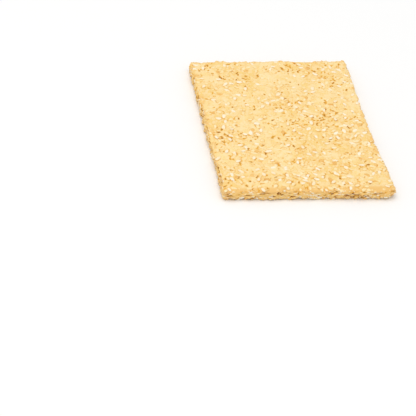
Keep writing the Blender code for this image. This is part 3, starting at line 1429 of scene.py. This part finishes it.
@dataclass
class CutSides:
    """The four sides as the knife left them: crumbly layers of dough with hollows between the seeds."""

    form: SlabForm
    over: Sheet
    under: Sheet
    shares: tuple[float, ...] = (
        0.0, 0.03, 0.07, 0.12, 0.18, 0.24, 0.30, 0.36, 0.42, 0.48, 0.54, 0.60, 0.66, 0.72, 0.78, 0.84,
        0.90, 0.95, 1.0
    )
    layer_cell: tuple[float, float, float] = (3.0 * MM, 3.0 * MM, 0.75 * MM)
    layer_depth: float = 0.17 * MM
    lump_cell: float = 0.95 * MM
    lump_depth: float = 0.20 * MM
    hollow_cell: tuple[float, float, float] = (1.8 * MM, 1.8 * MM, 0.85 * MM)
    hollow_span: Span = (0.02, 0.38)
    hollow_depth: float = 0.6 * MM
    hollow_power: float = 1.2
    groove_share: float = 0.80
    groove_width: float = 0.07
    groove_depth: float = 0.18 * MM
    groove_cell: float = 4.0 * MM
    groove_even: float = 0.6
    flank_slope: float = 7.0
    seed: int = 51

    def __post_init__(self) -> None:
        """Keeps the rims' distances and heights, between which the sides run."""
        self.rim = self.over.rim_distances()
        grid = (self.over.along + 1, self.over.across + 1, 3)
        self.top_rim = Sheet.rim_of(self.over.points().reshape(grid))
        self.low_rim = Sheet.rim_of(self.under.points().reshape(grid))

    def surface(self, along: Array, share: Array) -> tuple[Array, Array, Array]:
        """Places on the sides.

        A place is the solid's own, less a small inset, moved out by flat layers and round lumps and in by
        hollows and by a groove under the top skin. All of these fade to nothing at both rims.

        Args:
            along: Distances along the outline.
            share: Heights, as shares of the way from the lower rim to the upper.

        Returns:
            Points, outward directions, and how hollow each place is, from 0 to 1.
        """
        points, outward = self.form.dough_side(along, share)
        flank = np.clip(self.flank_slope * share * (1 - share), 0, 1)
        hollow = ramp(grain(points, self.hollow_cell, self.seed), *self.hollow_span) * flank
        groove = np.exp(-(((share - self.groove_share) / self.groove_width) ** 2))
        uneven = grain(points, self.groove_cell, self.seed + 3)
        groove *= self.groove_even + (1 - self.groove_even) * uneven
        relief = self.layer_depth * grain(points, self.layer_cell, self.seed + 1)
        relief += self.lump_depth * grain(points, self.lump_cell, self.seed + 2)
        relief -= self.hollow_depth * hollow + self.groove_depth * groove
        points = self.form.fit(points + outward * (relief * flank)[:, None])
        whole = self.form.starts[-1]
        low = np.interp(along, self.rim, self.low_rim[:, 2], period=whole)
        high = np.interp(along, self.rim, self.top_rim[:, 2], period=whole)
        points[:, 2] = low + share * (high - low)
        return points, outward, hollow**self.hollow_power

    def rings(self) -> tuple[Array, Array]:
        """The levels between the rims.

        Returns:
            Their vertices, ring by ring, and how hollow each is.
        """
        inner = self.shares[1:-1]
        along = np.tile(self.rim, len(inner))
        points, _, hollow = self.surface(along, np.repeat(inner, len(self.rim)))
        return inside_box(points), hollow


@dataclass
class SideSeeds:
    """Seeds in the cut sides. They lie in flat layers, and the knife went through many of them.

    The counts are those of each kind in turn. How far the cut ones stand out, before the knife, is in
    millimetres.
    """

    sides: CutSides
    seed: int = 61
    counts: tuple[int, ...] = (220, 210, 90, 230, 290)
    poke_low: float = 0.12 * MM
    poke_high: float = 0.34 * MM
    reach: float = 1.45 * MM
    low_share: float = 0.07
    high_share: float = 0.96
    roll: float = 0.55
    turn_spread: float = 0.45
    climb: float = 0.22
    cut_limit: float = 0.08 * MM
    whole_limit: float = 1.0 * MM
    cut_poke: Span = (0.3, 0.7)
    sizes: SeedSizes = field(default_factory=SeedSizes)

    def batches(self) -> dict[SeedKind, SeedBatch]:
        """Seats the seeds and sorts them by kind.

        A whole seed points along the side, give or take, and its flat side faces up, give or take its
        roll. A cut one points anywhere level, and ends at a flat just outside the dough.

        Returns:
            The seated seeds of every kind.
        """
        rng = np.random.default_rng(self.seed)
        count = sum(self.counts)
        whole = self.sides.form.starts[-1]
        tall = (self.high_share - self.low_share) * self.sides.form.thickness
        spread = spread_evenly(rng, count, np.array((whole, tall)), self.reach)
        along = spread[:, 0] + whole / 2
        share = spread[:, 1] / self.sides.form.thickness + (self.low_share + self.high_share) / 2
        spots, outward, _ = self.sides.surface(along, share)
        kinds = rng.permutation(np.repeat(np.arange(len(self.counts)), self.counts))
        cut = kinds == len(self.counts) - 1
        tangent = np.column_stack((-outward[:, 1], outward[:, 0], 0 * share))
        any_turn = rng.uniform(0, math.tau, count)
        turn = np.where(cut, any_turn, self.turn_spread * rng.standard_normal(count))
        turn += math.pi * rng.integers(0, 2, count)
        forward = tangent * np.cos(turn)[:, None] + outward * np.sin(turn)[:, None]
        forward[:, 2] = self.climb * rng.standard_normal(count)
        roll = self.roll * rng.standard_normal(count)
        upward = outward * np.sin(roll)[:, None]
        upward[:, 2] = np.cos(roll)
        poke = rng.uniform(self.poke_low, self.poke_high, count)
        limits = np.where(cut, self.cut_limit, self.whole_limit)
        poke = np.where(cut, rng.uniform(*self.cut_poke, count) * MM, poke)
        halves, tones = self.sizes.draw(rng, count), rng.random(count)
        batch = SeedBatch.seated(spots, outward, forward, upward, halves, poke, limits, tones)
        return {kind: batch.picked(kinds == number) for number, kind in enumerate(SeedKind)}


@dataclass
class Crumbs:
    """Crumbs of dough that hang on the cut sides, most of them at the lower edge.

    The low share of them hang within the low span of heights, and the rest within the whole span.
    """

    sides: CutSides
    seed: int = 81
    count: int = 1000
    low_share: float = 0.55
    low_span: Span = (0.02, 0.22)
    whole_span: Span = (0.1, 0.97)
    half_size: Span = (0.14 * MM, 0.38 * MM)
    size_power: float = 1.5
    uneven: Span = (0.75, 1.25)
    poke_span: Span = (0.5, 1.2)
    limit: float = 1.0 * MM
    wobble: float = 0.45
    wobble_cell: float = 0.35 * MM
    shape: SeedShape = SeedShape(around=6, along=4, point=0.15)
    finish: SeedFinish = SeedFinish(
        "crumb", srgb(236, 186, 110), srgb(251, 218, 154), srgb(240, 194, 120), (0.0, 0.8)
    )

    def build(self) -> bpy.types.Object:
        """Scatters the crumbs along the sides and hands the piece over.

        Returns:
            The finished piece.
        """
        rng = np.random.default_rng(self.seed)
        along = rng.uniform(0, self.sides.form.starts[-1], self.count)
        low = rng.random(self.count) < self.low_share
        low_down = rng.uniform(*self.low_span, self.count)
        share = np.where(low, low_down, rng.uniform(*self.whole_span, self.count))
        spots, outward, _ = self.sides.surface(along, share)
        directions = rng.standard_normal((2, self.count, 3))
        small, large = self.half_size
        halves = small + (large - small) * rng.random((self.count, 1)) ** self.size_power
        halves = halves * rng.uniform(*self.uneven, (self.count, 3))
        poke = halves.mean(axis=1) * rng.uniform(*self.poke_span, self.count)
        limits = np.full(self.count, self.limit)
        tones = rng.random(self.count)
        batch = SeedBatch.seated(spots, outward, *directions, halves, poke, limits, tones)
        piece = SeedPiece("crumbs", batch, self.finish, self.shape, self.wobble, self.wobble_cell, self.seed)
        return piece.build()


# ---------------------------------------------------------------------------------------------------------
# The dough
# ---------------------------------------------------------------------------------------------------------


@dataclass
class Dough:
    """The baked dough as one closed surface: the top, the underside, and rings between their rims."""

    over: Sheet
    under: Sheet
    sides: CutSides
    map_size: float = 190.0 * MM
    map_gap: float = 3.0 * MM
    strip_height: float = 7.0 * MM
    edge_span: Span = (0.9 * MM, 5.4 * MM)
    edge_heights: Span = (3.5 * MM, 5.0 * MM)
    cut_span: Span = (0.86, 1.0)
    finish: DoughFinish = field(default_factory=DoughFinish)

    def build(self) -> bpy.types.Object:
        """Joins the sheets and the rings and hands the piece over.

        Returns:
            The finished piece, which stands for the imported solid.
        """
        shape = (self.over.along + 1, self.over.across + 1)
        per_sheet = shape[0] * shape[1]
        top = np.arange(per_sheet).reshape(shape)
        low = top + per_sheet
        ring_points, hollow = self.sides.rings()
        columns = len(self.sides.rim)
        inner = 2 * per_sheet + np.arange(len(ring_points)).reshape(-1, columns)
        levels = np.vstack((Sheet.rim_of(low)[None], inner, Sheet.rim_of(top)[None]))
        levels = np.hstack((levels, levels[:, :1]))
        faces = [cells(top), cells(low)[:, ::-1], cells(levels)]
        points = np.concatenate((self.over.points(), self.under.points(), ring_points))
        obj = make_object("slab_body", points, faces, self.places(shape, len(levels)))
        rings = np.zeros(len(ring_points))
        for name in ("crease", "swell"):
            values = (getattr(self.over, name), getattr(self.under, name), rings)
            add_values(obj, name, np.concatenate(values))
        # The side hollows' depth goes to pit, which paints them orange and brown: partly a deeper bake,
        # partly painted shade.
        add_values(obj, "pit", np.concatenate((self.over.pit, self.under.pit, hollow)))
        share = np.repeat(self.sides.shares[1:-1], columns)
        flank = 1 - ramp(share, *self.cut_span)
        add_values(obj, "cut", np.concatenate((self.over.cut, self.under.cut, flank)))
        # The front upper edge's deeper gold: partly a deeper bake, partly painted shade.
        add_values(obj, "edge", self.front_edge_gold_and_shade(points))
        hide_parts(NODE)
        hand_over(obj, self.finish.build())
        return obj

    def front_edge_gold_and_shade(self, points: Array) -> Array:
        """How near each place is to the front upper edge, which is painted a deeper gold: partly a deeper
        bake, and partly painted shade where the edge rolls away from the light.

        Args:
            points: The dough's vertices.

        Returns:
            A number from 0 to 1 for each.
        """
        inward = points[:, 1] + self.over.size[1] / 2
        return (1 - ramp(inward, *self.edge_span)) * ramp(points[:, 2], *self.edge_heights)

    def places(self, shape: tuple[int, int], levels: int) -> list[Array]:
        """Places on the map: both sheets side by side at true scale, and the four sides as strips below.

        Args:
            shape: Rows and columns of a sheet's places.
            levels: How many levels the sides have, with both rims.

        Returns:
            The place of every corner, for the top, the underside and the sides.
        """
        gap, unit = self.map_gap, self.map_size
        ny, nx = shape[0] - 1, shape[1] - 1
        strips = []
        for number, steps in enumerate((ny, nx, ny, nx)):
            corner = np.array((gap, gap + number * (gap + self.strip_height)))
            size = self.over.size[1 if steps == ny else 0]
            grid = map_grid(levels, steps + 1, corner, corner + (size, self.strip_height))
            strips.append(grid)
        blocks = [np.concatenate([self.row_cells(grid) for grid in strips], axis=1).reshape(-1, 4, 2)]
        base = 2 * gap + 4 * (gap + self.strip_height)
        for left in (gap, 3 * gap + self.over.size[0]):
            corner = np.array((left, base))
            blocks.append(cells(map_grid(*shape, corner, corner + self.over.size)))
        side, top, low = blocks
        return [top / unit, low[:, ::-1] / unit, side / unit]

    @staticmethod
    def row_cells(grid: Array) -> Array:
        """Corners of the cells of a grid, kept in their rows."""
        rows, columns = grid.shape[:2]
        return cells(grid).reshape(rows - 1, columns - 1, 4, 2)


# ---------------------------------------------------------------------------------------------------------
# The studio
# ---------------------------------------------------------------------------------------------------------


@dataclass(frozen=True)
class Studio:
    """A pale floor, a bright even room, a large soft lamp nearly overhead, and the camera.

    The lamp hangs a little to the left and in front of the slab. The camera looks at a place on the floor
    beside the slab's front left corner, from in front and a little to the left, and leans to one side.
    """

    floor_size: float = 6.0
    floor_colour: Colour = (0.93, 0.93, 0.93, 1.0)
    floor_roughness: float = 0.9
    floor_shine: float = 0.1
    room_colour: Colour = (1.0, 1.0, 1.0, 1.0)
    room_strength: float = 0.705
    lamp_colour: tuple[float, float, float] = (1.0, 0.99, 0.97)
    lamp_place: tuple[float, float, float] = (-0.2, -0.12, 1.4)
    lamp_size: float = 1.4
    lamp_power: float = 10.2
    azimuth: float = -14.62
    elevation: float = 38.9
    lean: float = 8.34
    distance: float = 0.7737
    lens: float = 139.43
    sensor: float = 36.0
    aim: Span = (-0.5849, -0.5286)

    def build(self, form: SlabForm) -> None:
        """Lays the floor, lights the room, hangs the lamp and sets the camera.

        Args:
            form: The slab's form.
        """
        self.lay_floor()
        self.light_room()
        self.hang_lamp()
        self.set_camera(form)

    def lay_floor(self) -> None:
        """Makes a flat square floor under the slab."""
        half = self.floor_size / 2
        corners = [(-half, -half, 0), (half, -half, 0), (half, half, 0), (-half, half, 0)]
        mesh = bpy.data.meshes.new("floor")
        mesh.from_pydata(corners, [], [(0, 1, 2, 3)])
        bench = Bench("pale_floor")
        mesh.materials.append(bench.material)
        bench.shader.inputs["Base Color"].default_value = self.floor_colour
        bench.shader.inputs["Roughness"].default_value = self.floor_roughness
        bench.shader.inputs["Specular IOR Level"].default_value = self.floor_shine
        floor = link_object("floor", mesh)

    def light_room(self) -> None:
        """Lights everything evenly from all sides, and shows colours without a film's curve."""
        world = bpy.data.worlds.new("bright_room")
        world.use_nodes = True
        background = world.node_tree.nodes["Background"]
        background.inputs["Color"].default_value = self.room_colour
        background.inputs["Strength"].default_value = self.room_strength
        bpy.context.scene.world = world
        bpy.context.scene.view_settings.view_transform = "Standard"

    def hang_lamp(self) -> None:
        """Hangs the square lamp so that it faces the slab."""
        data = bpy.data.lights.new("soft_lamp", "AREA")
        data.size = self.lamp_size
        data.energy = self.lamp_power
        data.color = self.lamp_colour
        lamp = link_object("soft_lamp", data)
        lamp.location = self.lamp_place
        lamp.rotation_euler = (-Vector(self.lamp_place)).to_track_quat("-Z", "Y").to_euler()

    def set_camera(self, form: SlabForm) -> None:
        """Sets the camera its distance back from its aim, turned up by its elevation, and leans it.

        Args:
            form: The slab's form, whose size scales the aim.
        """
        data = bpy.data.cameras.new("camera")
        data.lens = self.lens
        data.sensor_width = self.sensor
        camera = link_object("camera", data)
        around, up = math.radians(self.azimuth), math.radians(self.elevation)
        back = Vector((math.sin(around) * math.cos(up), -math.cos(around) * math.cos(up), math.sin(up)))
        aim = Vector((self.aim[0] * form.width, self.aim[1] * form.length, 0.0))
        lean = Matrix.Rotation(math.radians(self.lean), 4, "Z")
        facing = (-back).to_track_quat("-Z", "Y").to_matrix().to_4x4()
        camera.matrix_world = Matrix.Translation(aim + back * self.distance) @ facing @ lean
        bpy.context.scene.camera = camera


# ---------------------------------------------------------------------------------------------------------
# Making it
# ---------------------------------------------------------------------------------------------------------


def main() -> None:
    """Builds the dough, the seeds by kind, the crumbs and the studio."""
    logging.basicConfig(level=logging.INFO, format="%(name)s: %(message)s")
    form = SlabForm(*(np.array(CAD_HIGH) - np.array(CAD_LOW)))
    over = Sheet(form, upward=True)
    under = Sheet(form, upward=False, seed=36)
    beds = (SeedBed(over, seed=41), SeedBed(under, seed=46, limit=0.20 * MM))
    for bed in beds:
        bed.press()
        bed.sink_pits()
    sides = CutSides(form, over, under)
    Dough(over, under, sides).build()
    found = SideSeeds(sides).batches()
    for bed in beds:
        for kind, batch in bed.batches().items():
            found[kind] = found[kind].joined(batch)
    for kind, batch in found.items():
        SeedPiece(kind.value, batch, FINISHES[kind]).build()
    Crumbs(sides).build()
    Studio().build(form)


if __name__ == "__main__":
    main()
